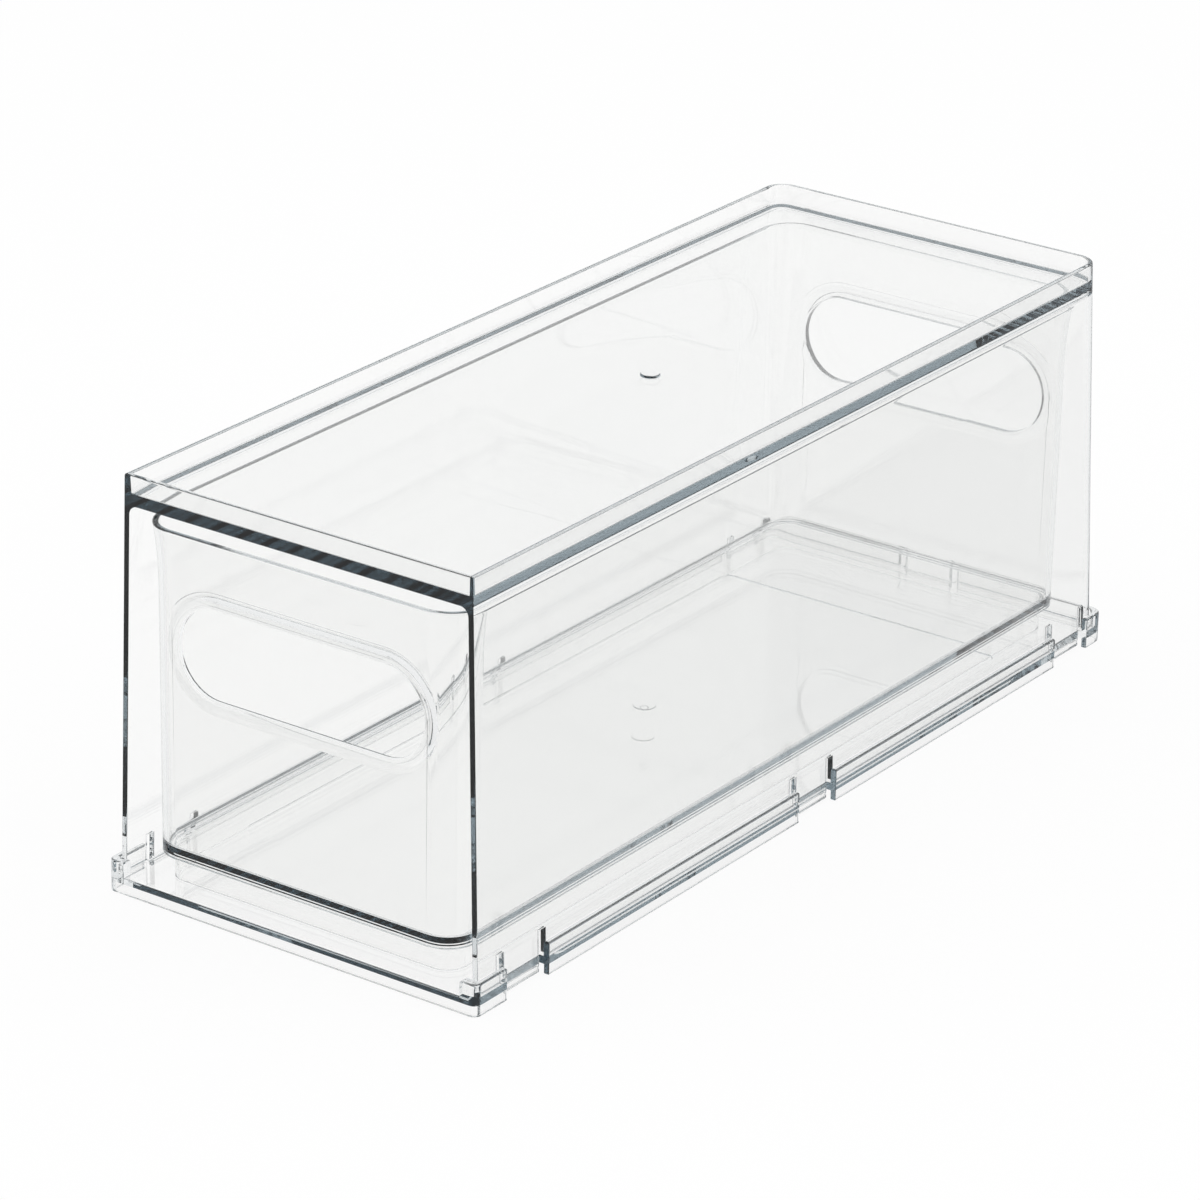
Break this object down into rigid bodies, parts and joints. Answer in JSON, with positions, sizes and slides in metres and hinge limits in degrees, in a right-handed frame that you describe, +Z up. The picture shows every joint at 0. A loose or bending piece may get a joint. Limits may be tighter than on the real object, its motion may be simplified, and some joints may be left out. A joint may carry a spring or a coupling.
{
  "type": "pull-out storage bin",
  "caption": "Clear stackable storage bin: an open-fronted case snapped onto a base tray, with a pull-out bin that has a slot handle in its front and its rear wall.",
  "frame": {"origin": "on the ground, under the middle of the base tray", "axes": "+Z up, +Y from the open front to the rear, +X to the right as seen from the front"},
  "size_m": [0.1458, 0.37, 0.1424],
  "materials": {
    "clear_tray": "clear, polished",
    "clear_case": "clear, polished",
    "clear_bin": "clear, polished"
  },
  "bodies": {
    "housing": {"base_tray": "clear_tray", "outer_case": "clear_case"},
    "bin": {"pull_out_bin": "clear_bin"}
  },
  "joints": [
    {"name": "bin_slide", "type": "slide", "parent": "housing", "child": "bin", "axis": [0, -1, 0], "range_m": [0, 0.34]}
  ]
}
